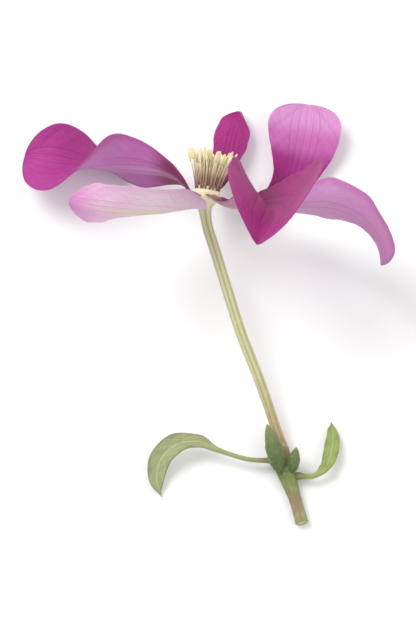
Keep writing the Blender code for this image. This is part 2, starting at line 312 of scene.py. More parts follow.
# Fills the shader from a form: its gloss, a bump of form["bump"] metres where height is 1, the
# two values of roughness where noise is 0.3 and 0.7, and light through thin tissue, as a share.
def finishMaterial(made, form, colour, height=None, noise=None):
    tree = made.node_tree
    shader = tree.nodes["Principled BSDF"]
    sockets = {"Base Color": colour, **form["gloss"]}
    glow = {"Color": colour}
    if height is not None:
        glow["Normal"] = sockets["Normal"] = addNode("ShaderNodeBump", {
            "Height": height, "Distance": form["bump"], "Strength": 1.0}).outputs[0]
    if noise is not None:
        low, high = form["roughness"]
        sockets["Roughness"] = addNode("ShaderNodeMapRange", {
            "Value": noise, "From Min": 0.3, "From Max": 0.7, "To Min": low, "To Max": high,
        }).outputs[0]
    for key, value in sockets.items():
        fill(shader.inputs[key], value)
    if "through" in form:
        passing = addNode("ShaderNodeBsdfTranslucent", glow)
        both = tree.nodes.new("ShaderNodeMixShader")
        for socket, value in zip(both.inputs, (form["through"], shader.outputs[0], passing.outputs[0])):
            fill(socket, value)
        fill(tree.nodes["Material Output"].inputs["Surface"], both.outputs[0])
    return made


# Blades, which tepals and leaves share: s runs from base to tip, v from -1 to 1 across.

# The grid of s and v: rows that lie closer together towards the tip, after a few before s = 0
# that reach into what carries the blade, and columns at 0.3 v + 0.7 sin(pi v / 2), which lie
# closer together at the margins.
def bladeGrid(form, attach):
    share = 1 - (1 - np.linspace(0.0, 1.0, form["rowsAlong"]))**form["rowsPower"]
    share[-1] = 1 - 1e-5
    foot = np.linspace(-attach, 0, form["rowsAttach"], endpoint=False)
    spread = np.linspace(-1.0, 1.0, form["rowsAcross"] + 1)
    side = 0.3 * spread + 0.7 * np.sin(0.5 * math.pi * spread)
    return np.meshgrid(np.concatenate([foot, share]), side, indexing="ij")


# Slanted side veins, 0 to 1: (0.5 + 0.5 cos(2 pi phase))^power, where phase is
# s * count - |v| * slant + stray, fading at the midrib and at the margin.
def sideVeins(form, share, away, stray=0.0):
    phase = share * form["sideVeins"] - away * form["slant"] + stray
    veins = (0.5 + 0.5 * np.cos(2 * math.pi * phase))**form["veinPower"]
    return veins * fadeIn(away, *form["veinFrom"]) * fadeIn(away, 1.0, 0.8)


# The same veins as drawn lines, one where the phase is a whole number.
def veinLines(form, share, away, stray=0.0):
    phase = calc("SUBTRACT", times(share, form["sideVeins"]), times(away, form["slant"]))
    return linesAt(plus(phase, stray), 1.0, *form["veinLine"])


# Puckered tissue: pucker * unevenness(s * lengthwise + |v| * crosswise), away from the midrib.
def puckers(form, share, away, seed):
    lengthwise, crosswise = form["puckerPitch"]
    swell = uneven(share * lengthwise + away * crosswise, seed)
    return form["pucker"] * (swell * fadeIn(away, *form["puckerFrom"]))


# The first colour on the first face and the second on the other. They meet round the margin.
def twoFaces(first, second, face):
    return tinted(first, face, second, 0.1, 0.9)


# How far in from the margin: inset is 0 at the margin and 1 from roundedEdge inward, and the
# thickness follows the round edge sqrt(1 - (1 - inset)^2).
def marginInset(form, away, half):
    inset = np.clip((1 - away) * half / form["roundedEdge"], 0.0, 1.0)
    return inset, np.sqrt(1 - (1 - inset)**2)


# A closed blade. Where its underside would be at height a, the table holds it up at
# (a + sqrt(a^2 + softness^2)) / 2. The first face is middle + normal * (edge - sink * relief + swell)
# and the second middle - normal * (edge + relief - swell). Marks: s, v and the face, which is 0,
# 1, or 0.5 on a margin.
def bladeMesh(name, form, share, side, middle, edge, relief, swell, way=1):
    above = middle[..., 2] - 0.5 * form["thick"]
    middle[..., 2] = 0.5 * (form["thick"] + above + np.sqrt(above**2 + form["softness"]**2))
    normal = way * unit(np.cross(np.gradient(middle, axis=0), np.gradient(middle, axis=1)))
    first = middle + normal * (edge - form["sink"] * relief + swell)[..., None]
    second = middle - normal * (edge + relief - swell)[..., None]
    face = np.zeros(side.shape)
    face[:, [0, -1]] = 0.5
    fronts, rears = (first, share, side, face), (second, share, side, np.ones(side.shape))
    rings, *values = (np.concatenate([front, rear[:, -2:0:-1]], axis=1)
                      for front, rear in zip(fronts, rears))
    return shellMesh(name, rings[None], *values), second, -normal


# Tepals. Each leaves the receptacle at an azimuth round the bloom's axis. Pitch, yaw and
# twist are degrees at four control points from base to tip, curl is radians across.
tepalForm = dict(
    start=0.0028, attach=0.0009, attachDepth=1.7, claw=0.11, footNarrow=0.42,
    footReach=0.17, narrowest=0.0005, closeFrom=0.93,
    foldSoftness=0.14, foldFrom=0.3, ripplePower=2.2, rippleFade=0.6,
    ruffle=0.035, ruffles=5.0, ruffleFrom=(0.2, 0.45), ruffleShift=1.7, ruffleStray=(2.0, 6),
    marginWander=0.020, wanderPitch=13.0,
    spineSteps=400, rowsAlong=170, rowsPower=1.9, rowsAttach=4, rowsAcross=64,
    thick=0.00036, thickAtMargin=0.00020, roundedEdge=0.00022, softness=0.00012,
    ribs=3, ribGap=0.20, ribWidth=0.045, ribHeight=0.00010, ribLoss=0.9, sink=0.8,
    sideVeins=15.0, slant=4.2, veinPower=5, veinFrom=(0.12, 0.35), veinStart=(0.1, 0.3),
    veinHeight=0.00003, veinWander=(0.25, 19, 5),
    pucker=0.00006, puckerPitch=(40.0, 9.0), puckerFrom=(0.1, 0.5),
    # Drawn lines: how wide, how strong, and how far the mottle leads them astray.
    ribLine=0.022, veinLine=(0.07, 1.0), veinShare=0.6, netLine=(0.07, 0.30),
    fibreGap=0.05, fibreLine=(0.008, 0.35), veinStray=1.2, netStray=0.10, fibreStray=0.012,
    streaks=(7.0, 46.0), mottle=320.0, grain=5200.0, net=(17.0, 17.0),
    streakReach=0.16, streakStart=(0.1, 0.4),
    shade=(173, 129, 173), innerStreaks=(0.35, 0.75), innerLines=0.1,
    lighter=((221, 129, 197), 0.45, 0.8, 0.10),
    deeper=(206, 170, 197), reverseStreaks=(0.5, 0.85, 0.4), reverseLines=0.45,
    barWidth=(0.30, 0.05), barFade=(0.1, -0.4), marginFade=(0.72, 1.0, 0.6),
    bump=0.00006, roughness=(0.48, 0.62), through=0.22,
    gloss={"Sheen Weight": 0.13, "Sheen Roughness": 0.4, "Sheen Tint": (1.0, 0.82, 0.97, 1.0),
           "Specular IOR Level": 0.32},
)
# The dark feet of the inner colour runs are partly the tepals' own darker base and partly painted shade
# deep in the bloom's cup.
tepals = {
    "tepal_1": dict(
        azimuth=149.5, length=0.0310, width=0.0136, rise=1.47, tipPower=0.58,
        pitch=(55, -42, 7, 4), yaw=(-1, 5, 49, 11), twist=(6, 147, -62, -89),
        curl=(0.19, 0.70, 0.00, 0.25), fold=0.23, wave=0.0008, waves=1.8, waveStart=(0.0, 0.4),
        slot="tepal_vivid", depth=0.34,
        inner=((0.0, 78, 14, 40), (0.16, 122, 24, 76), (0.55, 182, 52, 146), (1.0, 194, 70, 160)),
        # The dark maroon foot of this reverse run is partly painted shade along the base of the hump.
        reverse=((0.0, 112, 30, 62), (0.18, 136, 48, 92), (0.34, 190, 112, 178),
                 (0.60, 214, 140, 206), (1.0, 200, 108, 180)),
        bar=(206, 168, 200), barReach=0.75, barAmount=0.40, margin=(176, 70, 148)),
    "tepal_2": dict(
        azimuth=230.5, length=0.0311, width=0.0109, rise=0.82, tipPower=0.59,
        pitch=(-36, -2, -25, 17), yaw=(15, 54, -52, -57), twist=(-22, -6, 33, 48),
        curl=(0.12, 0.36, 0.38, 0.17), fold=0.26, wave=0.0010, waves=1.6, waveStart=(0.2, 0.6),
        slot="tepal_pale", depth=0.20,
        inner=((0.0, 200, 160, 146), (0.09, 140, 52, 90), (0.6, 186, 70, 150),
               (1.0, 214, 128, 190)),
        reverse=((0.0, 228, 212, 206), (0.22, 234, 202, 224), (0.55, 246, 228, 236),
                 (0.78, 246, 208, 234), (1.0, 234, 156, 218)),
        bar=(232, 230, 186), barReach=0.9, barAmount=0.80, margin=(238, 184, 224)),
    "tepal_3": dict(
        azimuth=92, length=0.0220, width=0.0063, rise=1.73, tipPower=0.52,
        pitch=(20, 43, 53, 104), yaw=(-17, -29, -6, -22), twist=(-13, -15, 4, -34),
        curl=(0.74, 0.64, 0.33, 1.03), fold=0.12, wave=0.0006, waves=1.5, waveStart=(0.4, 0.8),
        slot="tepal_vivid", depth=0.40,
        inner=((0.0, 72, 40, 44), (0.30, 112, 26, 70), (0.52, 174, 42, 130), (1.0, 196, 58, 152)),
        reverse=((0.0, 170, 90, 130), (0.3, 200, 130, 180), (0.7, 206, 136, 190),
                 (1.0, 204, 120, 184)),
        bar=(214, 186, 184), barReach=0.7, barAmount=0.50, margin=(180, 70, 146)),
    "tepal_4": dict(
        azimuth=286.5, length=0.0322, width=0.0153, rise=2.18, tipPower=0.71,
        pitch=(-35, 46, -32, -52), yaw=(30, 36, -11, -55), twist=(6, -4, 35, -27),
        curl=(0.43, 0.88, 0.39, 0.57), fold=1.03, wave=0.0006, waves=1.5, waveStart=(0.5, 0.1),
        slot="tepal_vivid", depth=0.36,
        inner=((0.0, 190, 150, 134), (0.09, 116, 30, 66), (0.25, 138, 26, 90),
               (0.55, 174, 36, 128), (1.0, 190, 60, 148)),
        reverse=((0.0, 206, 180, 168), (0.3, 206, 148, 190), (0.7, 206, 136, 190),
                 (1.0, 196, 104, 174)),
        bar=(216, 196, 190), barReach=0.7, barAmount=0.60, margin=(178, 66, 144)),
    "tepal_5": dict(
        azimuth=38, length=0.0309, width=0.0113, rise=2.32, tipPower=0.36,
        pitch=(-8, 6, 105, 92), yaw=(-6, 1, 28, 23), twist=(2, 76, 21, 23),
        curl=(0.01, 0.36, 0.34, 0.16), fold=0.25, wave=0.0009, waves=1.6, waveStart=(0.1, 0.5),
        slot="tepal_vivid", depth=0.30,
        # The pale end of this inner run is partly a painted highlight, where light grazes the curled tip,
        # over a tip that is paler of its own.
        inner=((0.0, 104, 40, 58), (0.34, 146, 30, 104), (0.66, 172, 46, 138),
               (0.80, 214, 118, 194), (0.92, 234, 168, 222), (1.0, 234, 166, 220)),
        reverse=((0.0, 190, 130, 160), (0.3, 206, 140, 190), (0.7, 216, 150, 202),
                 (1.0, 228, 166, 214)),
        bar=(218, 192, 190), barReach=0.7, barAmount=0.60, margin=(200, 110, 178)),
    "tepal_6": dict(
        azimuth=348, length=0.0329, width=0.0100, rise=1.17, tipPower=0.48,
        pitch=(-19, 28, 12, -86), yaw=(1, 12, -45, 26), twist=(12, -21, -47, -7),
        curl=(0.20, 0.71, 0.63, 0.29), fold=0.26, wave=0.0008, waves=1.6, waveStart=(0.3, 0.9),
        slot="tepal_lilac", depth=0.28,
        inner=((0.0, 116, 28, 66), (0.3, 150, 40, 112), (0.7, 180, 62, 146), (1.0, 190, 80, 160)),
        reverse=((0.0, 204, 156, 186), (0.22, 216, 158, 210), (0.6, 222, 164, 214),
                 (1.0, 220, 150, 204)),
        bar=(236, 210, 222), barReach=0.6, barAmount=0.50, margin=(192, 98, 172)),
}


# Half width from base to tip: half = width/2 * (claw*(1-s)^4 + s^rise*(1-s)^fall / its peak),
# drawn in by footNarrow at the foot, with a little added that runs out at the very tip.
def tepalHalfWidth(tepal, share):
    rise, fall = tepal["rise"], tepal["tipPower"]
    widest = rise / (rise + fall)
    oval = share**rise * (1 - share)**fall / (widest**rise * (1 - widest)**fall)
    foot = 1 - tepalForm["footNarrow"] * fadeIn(share, tepalForm["footReach"], 0.0)
    return (0.5 * tepal["width"] * foot * (tepalForm["claw"] * (1 - share)**4 + oval)
            + tepalForm["narrowest"] * np.sqrt(1 - fadeIn(share, tepalForm["closeFrom"], 1.0)))


# Middle line: the sum of unit steps (cos p cos y, cos p sin y, sin p) along the length.
# Across is level with the bloom, turned about the line by the twist, and inward is square to both.
def tepalSpine(tepal, share):
    fine = np.linspace(0.0, 1.0, tepalForm["spineSteps"] + 1)
    pitch, yaw = (np.radians(controlCurve(tepal[key], fine)) for key in ("pitch", "yaw"))
    along = np.stack([np.cos(pitch) * np.cos(yaw), np.cos(pitch) * np.sin(yaw), np.sin(pitch)], 1)
    run = np.zeros_like(along)
    steps = 0.5 * (along[1:] + along[:-1]) * tepal["length"] / tepalForm["spineSteps"]
    run[1:] = np.cumsum(steps, axis=0)
    run[:, 0] += tepalForm["start"]
    place, along = (np.stack([np.interp(share, fine, line[:, k]) for k in range(3)], -1)
                    for line in (run, along))
    yaw = np.interp(share, fine, yaw)
    twist = np.radians(controlCurve(tepal["twist"], share))[..., None]
    level = np.stack([-np.sin(yaw), np.cos(yaw), 0 * yaw], -1)
    inward = np.cross(along, level)
    return (place, level * np.cos(twist) + inward * np.sin(twist),
            inward * np.cos(twist) - level * np.sin(twist))


# Middle surface. Across the blade: out = half*sin(curl*v)/curl, lift = half*(1-cos(curl*v))/curl
# plus a keel along the midrib, waves that grow towards the margin and ruffles along it. Before
# the foot, where s is below 0, the blade runs straight in to the axis.
def tepalSurface(tepal, share, side):
    form = tepalForm
    inside = np.clip(share, 0.0, 1.0)
    away = np.abs(side)
    place, across, inward = tepalSpine(tepal, inside)
    place[..., 0] += (share - inside) * tepal["length"] * form["attachDepth"]
    seed = tepal["azimuth"] * 0.1
    wander = uneven(inside * form["wanderPitch"] + 2.0 * np.sign(side), seed)
    half = tepalHalfWidth(tepal, inside) * (1 + form["marginWander"] * wander * (away > 0))
    curl = controlCurve(tepal["curl"], inside) + 1e-4        # never quite 0
    keel = np.clip(inside / form["foldFrom"], 0.0, 1.0) * tepal["fold"]
    soft = form["foldSoftness"]
    out = half * np.sin(curl * side) / curl
    lift = half * (1 - np.cos(curl * side)) / curl
    lift += keel * half * (np.sqrt(side**2 + soft**2) - soft)
    start = np.where(side < 0, *tepal["waveStart"])
    ripple = np.sin(2 * math.pi * (tepal["waves"] * inside + start)) * away**form["ripplePower"]
    lift += tepal["wave"] * np.sin(math.pi * inside)**form["rippleFade"] * ripple
    stray, strayPitch = form["ruffleStray"]
    ruffle = np.sin(2 * math.pi * (form["ruffles"] * inside + form["ruffleShift"] * start)
                    + stray * uneven(inside * strayPitch, seed + 3)) * away**4
    lift += form["ruffle"] * half * fadeIn(inside, *form["ruffleFrom"]) * ruffle
    local = place + across * out[..., None] + inward * lift[..., None]
    azimuth = math.radians(tepal["azimuth"])
    return centre + local @ np.stack([awayFromAxis(azimuth), awayFromAxis(azimuth + math.pi / 2), axis])


# A closed tepal: half its thickness runs out in a round edge at the margins and at the tip. Soft
# ribs, lower away from the midrib, and side veins stand out on the reverse and sink in inside.
def tepalShell(name, tepal):
    form = tepalForm
    share, side = bladeGrid(form, form["attach"] / tepal["length"])
    away = np.abs(side)
    inset, edge = marginInset(form, away, tepalHalfWidth(tepal, np.clip(share, 0.0, 1.0)))
    thick = form["thick"] + (form["thickAtMargin"] - form["thick"]) * side**2
    tipFade = np.sqrt(np.clip((1 - share) * tepal["length"] / form["roundedEdge"], 0.0, 1.0))
    ribs = sum(peak(away - place, form["ribWidth"]) * (1.0 - form["ribLoss"] * place)
               for place in form["ribGap"] * np.arange(form["ribs"]))
    ribs = form["ribHeight"] * ribs * fadeIn(share, 1.0, 0.75)
    wander, lengthwise, crosswise = form["veinWander"]
    veins = sideVeins(form, share, away, wander * uneven(share * lengthwise + side * crosswise, 2.0))
    veins = form["veinHeight"] * veins * fadeIn(share, *form["veinStart"])
    return bladeMesh(name, form, share, side, tepalSurface(tepal, share, side),
                     0.5 * thick * edge * tipFade, (ribs + veins) * inset * tipFade,
                     puckers(form, share, away, 1.0) * inset * tipFade)


# The lines drawn on a tepal, 0 to 1, the strongest of: ribs at equal gaps out to the last one,
# side veins, a net, and fibres between the ribs.
def tepalLines(share, side, mottle):
    form = tepalForm
    away = calc("ABSOLUTE", side)
    lastRib = form["ribGap"] * (form["ribs"] - 1)
    ribs = times(linesAt(away, form["ribGap"], form["ribLine"]),
                 nodeFade(away, lastRib + 0.1, lastRib + 0.02))
    veins = veinLines(form, share, away, times(mottle, form["veinStray"]))
    veins = times(veins, nodeFade(away, *form["veinFrom"], form["veinShare"]))
    strayed = plus(side, times(mottle, form["netStray"]))
    net = netOn(skinPlace(share, strayed, form["net"]), 1.0, *form["netLine"])
    strayed = plus(away, times(mottle, form["fibreStray"]))
    return calc("MAXIMUM", ribs, veins, net, linesAt(strayed, form["fibreGap"], *form["fibreLine"]))


# Velvety petal tissue. The colour runs from base to tip on each face, the reverse has a pale
# bar along the midrib and darker margins, and lines and streaks darken both.
def tepalMaterial(name, tepal):
    form = tepalForm
    made, place, share, side, face = startMaterial(name + "_petal")
    away = calc("ABSOLUTE", side)
    streaks = noiseOn(skinPlace(share, side, form["streaks"]), detail=2.0)
    mottle = noiseOn(place, form["mottle"])
    grain = noiseOn(place, form["grain"], 1.0)
    lines = tepalLines(share, side, mottle)
    stray = times(calc("SUBTRACT", streaks, 0.5), form["streakReach"])
    reach = plus(share, times(stray, nodeFade(share, *form["streakStart"])))

    inner = colourRun(reach, tepal["inner"])
    dark = shaded(inner, form["shade"])
    inner = tinted(inner, streaks, dark, *form["innerStreaks"], tepal["depth"])
    inner = mixed(inner, dark, times(lines, tepal["depth"] + form["innerLines"]))
    inner = tinted(inner, mottle, *form["lighter"])

    reverse = colourRun(reach, tepal["reverse"])
    barEnd = nodeFade(share, *(tepal["barReach"] + more for more in form["barFade"]), tepal["barAmount"])
    reverse = tinted(reverse, away, tepal["bar"], *form["barWidth"], within=barEnd)
    reverse = tinted(reverse, away, tepal["margin"], *form["marginFade"])
    deeper = shaded(reverse, form["deeper"])
    reverse = mixed(reverse, deeper, times(lines, form["reverseLines"]))
    reverse = tinted(reverse, streaks, deeper, *form["reverseStreaks"])

    height = plus(times(lines, 0.5), times(grain, 0.25), times(streaks, 0.4))
    sign = calc("SUBTRACT", nodeFade(face, 0.4, 0.6, 2.0), 1.0)      # -1 inside, 1 on the reverse
    return finishMaterial(made, form, twoFaces(inner, reverse, face), times(height, sign), mottle)


petalDown = dict(
    each=420, rows=(6, 0.7), ribSpread=0.10, onRibs=0.75, lean=1.4,
    length=(0.00014, 0.00032), radius=0.000007, foot=(222, 190, 214), tip=(248, 236, 246),
)


# Roots of the short hairs on the reverse: random points of the grid within the ribbed middle
# and along the margins, each hair way = outward normal + lean * along, length one.
def petalDownRoots(reverse, outward):
    rows, columns = reverse.shape[:2]
    first, last = petalDown["rows"]
    row = draw.integers(first, int(rows * last), petalDown["each"])
    middle = 0.5 * columns + draw.normal(size=len(row)) * petalDown["ribSpread"] * columns
    margin = np.where(draw.uniform(size=len(row)) < 0.5, 1, columns - 2)
    column = np.where(draw.uniform(size=len(row)) < petalDown["onRibs"], middle, margin)
    column = np.clip(column.astype(int), 1, columns - 2)
    along = unit(np.gradient(reverse, axis=0))[row, column]
    return reverse[row, column], unit(outward[row, column] + petalDown["lean"] * along)


draw = np.random.default_rng(11)
petalRoots = []
for node, tepal in tepals.items():
    piece = node + "_blade"
    mesh, reverse, outward = tepalShell(piece, tepal)
    addPiece(piece, [mesh], tepalMaterial(node, tepal), node)
    petalRoots.append(petalDownRoots(reverse, outward))
print("Tepals: six curved blades with ribs and veins")


# Stalk. The route runs from the cut end to the bloom: x, y, height, radius. The top runs up
# the bloom's axis: distance from the bloom's centre, radius.
stalkForm = dict(
    route=((0.0158, -0.0544, 0.0010, 0.00100), (0.0146, -0.0500, 0.0012, 0.00100),
           (0.0132, -0.0455, 0.0015, 0.00150), (0.0126, -0.0422, 0.0019, 0.00120),
           (0.0115, -0.0384, 0.0028, 0.00085), (0.0089, -0.0308, 0.0046, 0.00085),
           (0.0059, -0.0232, 0.0064, 0.00085), (0.0036, -0.0161, 0.0079, 0.00085),
           (0.0014, -0.0088, 0.0088, 0.00085), (-0.0001, -0.0042, 0.0093, 0.00085)),
    top=((-0.0030, 0.00088), (-0.0022, 0.00102), (-0.0014, 0.00138), (-0.0007, 0.00196),
         (0.0000, 0.00224), (0.0005, 0.00228), (0.0009, 0.00214), (0.0012, 0.00160),
         (0.00132, 0.00080), (0.00136, 0.00010)),
    rowsStem=260, rowsTop=46, sides=48, joinRows=6, easeRows=9,
    ribs=6, ribDepth=0.075, ribTwist=1.2, wrinkle=0.018, wrinklePitch=(520, 150),
    smoothFrom=(0.93, 0.84), smoothAtNode=0.6,
    nodeAt=0.235, nodeLength=0.045,              # as shares of the route
    nodeRings=((0.10, -0.2, 0.22), (-0.06, 0.35, 0.18)),     # swelling, and place and width there
    cutRings=((0.02, 0.00016), (0.30, 0.00015), (0.42, 0.00004), (0.78, 0.00003),
              (0.90, -0.00002)),                 # share of the radius, depth of the cut face
    cutMark=0.1,                                 # the cut face is marked from 0 to this
    mottle=900.0, patches=160.0, fibres=(60.0, 90.0),
    skin=((0.00, 140, 142, 92), (0.14, 112, 126, 66), (0.19, 88, 108, 46),
          (0.225, 96, 108, 50), (0.28, 138, 118, 76), (0.38, 176, 154, 112),
          (0.52, 194, 192, 144), (0.84, 208, 208, 168), (0.93, 238, 226, 196),
          (1.00, 232, 220, 180)),
    furrow=((124, 124, 66), 0.1, -0.9, 0.5),
    blush=((150, 96, 92), 0.5, 0.75, 0.6), blushFrom=(0.7, 0.3),
    fleck=((212, 209, 170), 0.55, 0.75, 0.35), fibre=((124, 129, 80), 0.55, 0.8, 0.3),
    cutFace=((0.0, 226, 224, 196), (0.34, 222, 220, 184), (0.5, 140, 156, 96),
             (0.75, 176, 184, 130), (1.0, 110, 120, 66)),
    cutStain=((178, 168, 120), 0.4, 0.7, 0.4), bump=0.00008, roughness=(0.42, 0.60),
    gloss={"Specular IOR Level": 0.4, "Sheen Weight": 0.15},
)


# Middle line and radius at rows from the cut end to the top of the receptacle. The bend where
# the two routes join is eased by a running mean: path * (1 - near) + mean * near.
def stalkLine():
    stem = smoothRoute(stalkForm["route"], np.linspace(0.0, 1.0, stalkForm["rowsStem"]))
    stem = stem[:-stalkForm["joinRows"]] + np.append(under, 0.0)
    top = smoothRoute(stalkForm["top"], np.linspace(0.0, 1.0, stalkForm["rowsTop"]))
    path = np.vstack([stem[:, :3], centre + axis * top[:, :1]])
    ease = stalkForm["easeRows"]
    window = np.full(2 * ease + 1, 1.0 / (2 * ease + 1))
    mean = np.stack([np.convolve(path[:, k], window, mode="same") for k in range(3)], 1)
    near = peak(np.arange(len(path)) - len(stem), 1.5 * ease)[:, None]
    return path * (1 - near) + mean * near, np.concatenate([stem[:, 3], top[:, 1]])


# Skin: radius * (1 + ribDepth*cos(ribs*turn) + fine wrinkles + the rings of the node), with the
# ribs turning slowly along the stalk and fading at the node and under the bloom. The cut end is
# closed by rings that sink a little over the pith.
def stalkShell(name):
    form = stalkForm
    path, radius = stalkLine()
    share = np.linspace(0.0, 1.0, len(path))[:, None]
    turn = ringTurns(form["sides"])
    fromNode = (share * len(path) / form["rowsStem"] - form["nodeAt"]) / form["nodeLength"]
    plain = (1 - form["smoothAtNode"] * peak(fromNode, 1.0)) * fadeIn(share, *form["smoothFrom"])
    ribs = np.cos(form["ribs"] * (turn + form["ribTwist"] * share))
    close, wide = form["wrinklePitch"]
    rings = uneven(share * close, 0.0) * peak(fromNode, 1.5) + 0.5 * uneven(share * wide + 2 * turn, 1.0)
    knob = sum(swell * peak(fromNode - place, width) for swell, place, width in form["nodeRings"])
    skin = radius[:, None] * (1 + form["ribDepth"] * plain * ribs + form["wrinkle"] * rings + knob)
    points = carryProfile(path, skin, skin, upward, form["sides"])
    part, depth = np.array(form["cutRings"]).T[:, :, None, None]
    cut = path[0] + (points[0] - path[0]) * part + unit(path[1] - path[0]) * depth
    share = np.concatenate([part[:, :, 0] * form["cutMark"], share])
    onCut = np.arange(len(share))[:, None] < len(part)
    return shellMesh(name, np.concatenate([cut, points])[None], share, turn / (2 * math.pi), onCut)


# Green skin that pales to cream under the bloom and browns towards the node, with darker
# furrows at cos(ribs * turn) = -1, flecks, fibres, and a cut face with a pale pith in a green ring.
def stalkMaterial():
    form = stalkForm
    made, place, share, turn, cut = startMaterial("stalk_skin")
    mottle = noiseOn(place, form["mottle"], 4.0)
    fibres = noiseOn(skinPlace(share, turn, form["fibres"]), detail=2.0)
    patches = noiseOn(place, form["patches"])
    ribTurn = times(plus(times(turn, 2 * math.pi), times(share, form["ribTwist"])), form["ribs"])
    ribbed = nodeFade(share, *form["smoothFrom"])
    skin = colourRun(share, form["skin"])
    skin = tinted(skin, calc("COSINE", ribTurn), *form["furrow"], within=ribbed)
    skin = tinted(skin, patches, *form["blush"], within=nodeFade(share, *form["blushFrom"]))
    skin = tinted(skin, mottle, *form["fleck"])
    skin = tinted(skin, fibres, *form["fibre"])
    face = colourRun(times(share, 1.0 / form["cutMark"]), form["cutFace"])
    face = tinted(face, mottle, *form["cutStain"])
    height = plus(times(mottle, 0.5), times(fibres, 0.7))
    return finishMaterial(made, form, mixed(skin, face, nodeFade(cut, 0.4, 0.6)), height, mottle)


addPiece("stalk_stem", [stalkShell("stalk_stem")], stalkMaterial(), "stalk")
print("Stalk: ribbed skin, node, receptacle and cut end")


# Leaves: x, y, height and half width along the middle line from the node outward. The first
# part is a round leaf stalk, which flattens into the blade over the shares in flatten.
leafForm = dict(
    rowsAlong=150, rowsPower=1.4, rowsAcross=44, rowsAttach=8,
    attach=0.0016, pointGap=0.004, cup=0.35, softness=0.00012,
    thick=0.00030, roundedEdge=0.00016, stalkShare=0.86, clasp=0.45, claspLength=0.05,
    tipNarrow=0.85, tipFrom=0.90, tipRound=0.01,
    midrib=0.00016, midribWidth=0.00022, sink=0.7,
    sideVeins=12.0, slant=1.6, veinPower=4, veinFrom=(0.05, 0.2),
    veinHeight=0.00005, pucker=0.00007, puckerPitch=(60.0, 7.0), puckerFrom=(0.1, 0.4),
    wave=0.00022, waves=5.0, mottle=700.0, net=1900.0,
    midribLine=(0.16, 0.04), veinLine=(0.10, 0.8), netLine=(0.05, 0.5), veinShare=0.55,
    edgeFade=(0.80, 1.0, 0.55),
    shade=((105, 115, 69), 0.5, 0.75, 0.3), base=((128, 118, 78), 0.18, 0.0, 0.7),
    bump=0.00006, roughness=(0.42, 0.58), through=0.15, gloss={"Specular IOR Level": 0.4},
)
leaves = {
    "leaf_left": dict(
        route=((0.0112, -0.0437, 0.0020, 0.00045), (0.0070, -0.0436, 0.0022, 0.00045),
               (0.0022, -0.0422, 0.0026, 0.00050), (-0.0012, -0.0408, 0.0030, 0.00110),
               (-0.0048, -0.0412, 0.0030, 0.00170), (-0.0074, -0.0434, 0.0022, 0.00185),
               (-0.0082, -0.0466, 0.0012, 0.00135), (-0.0074, -0.0496, 0.0003, 0.00030)),
        flatten=(0.26, 0.44), upper=(160, 168, 120), lower=(182, 190, 152), vein=(198, 204, 160),
        edge=(136, 112, 96)),
    "leaf_right": dict(
        route=((0.0153, -0.0463, 0.0016, 0.00050), (0.0178, -0.0464, 0.0019, 0.00050),
               (0.0197, -0.0448, 0.0020, 0.00090), (0.0206, -0.0422, 0.0016, 0.00125),
               (0.0209, -0.0393, 0.0010, 0.00105), (0.0207, -0.0362, 0.0003, 0.00030)),
        flatten=(0.22, 0.40), upper=(156, 173, 100), lower=(178, 191, 130), vein=(190, 202, 132),
        edge=(130, 116, 70)),
}


# Rough length of a leaf: its points stand about pointGap apart.
def leafLength(leaf):
    return len(leaf["route"]) * leafForm["pointGap"]


# Middle surface of a leaf: place + across * side * half, cupped by cup * half * side^2, with
# waves that grow towards the margin of the blade, all of it less on the leaf stalk and at the tip.
def leafSurface(leaf, share, side):
    inside = np.clip(share, 0.0, 1.0)
    middle = smoothRoute(leaf["route"], inside)
    along = smoothRoute(leaf["route"], inside + 0.01) - smoothRoute(leaf["route"], inside - 0.01)
    along = unit(along[..., :3])
    across = unit(np.cross(along, upward))
    half = middle[..., 3] * (1 + leafForm["clasp"] * peak(inside, leafForm["claspLength"]))
    blade = fadeIn(inside, *leaf["flatten"])
    half *= leafForm["stalkShare"] + (1.0 - leafForm["stalkShare"]) * blade
    half *= 1.0 - leafForm["tipNarrow"] * fadeIn(inside, leafForm["tipFrom"], 1.0)
    place = middle[..., :3] + along * ((share - inside) * leafLength(leaf))[..., None]
    place += across * (side * half)[..., None]
    waves = np.sin(2 * math.pi * (leafForm["waves"] * inside + 0.3 * np.sign(side)))
    lift = leafForm["cup"] * half * side**2 + leafForm["wave"] * blade * waves * np.abs(side)**3
    lift *= (0.3 + 0.7 * blade) * fadeIn(1 - inside, 0.0, 0.1)
    return under + place + lift[..., None] * upward, half, blade


# A closed leaf: half thickness runs from a round section, half*sqrt(1-v^2), on the leaf
# stalk to a thin sheet with a round edge on the blade. The midrib and veins stand out below.
def leafShell(name, leaf):
    form = leafForm
    share, side = bladeGrid(form, form["attach"] / leafLength(leaf))
    away = np.abs(side)
    middle, half, blade = leafSurface(leaf, share, side)
    inset, edge = marginInset(form, away, half)
    roundStalk = half * np.sqrt(np.clip(1 - side**2, 0.0, 1.0))
    edge = roundStalk * (1 - blade) + 0.5 * form["thick"] * edge * blade
    rib = form["midrib"] * peak(side * half, form["midribWidth"]) * fadeIn(share, 1.0, 0.8)
    veins = form["veinHeight"] * sideVeins(form, share, away)
    return bladeMesh(name, form, share, side, middle,
                     edge * np.sqrt(np.clip((1 - share) / form["tipRound"], 0.0, 1.0)),
                     (rib + veins) * blade * inset,
                     puckers(form, share, away, 2.0) * blade * inset, way=-1)[0]


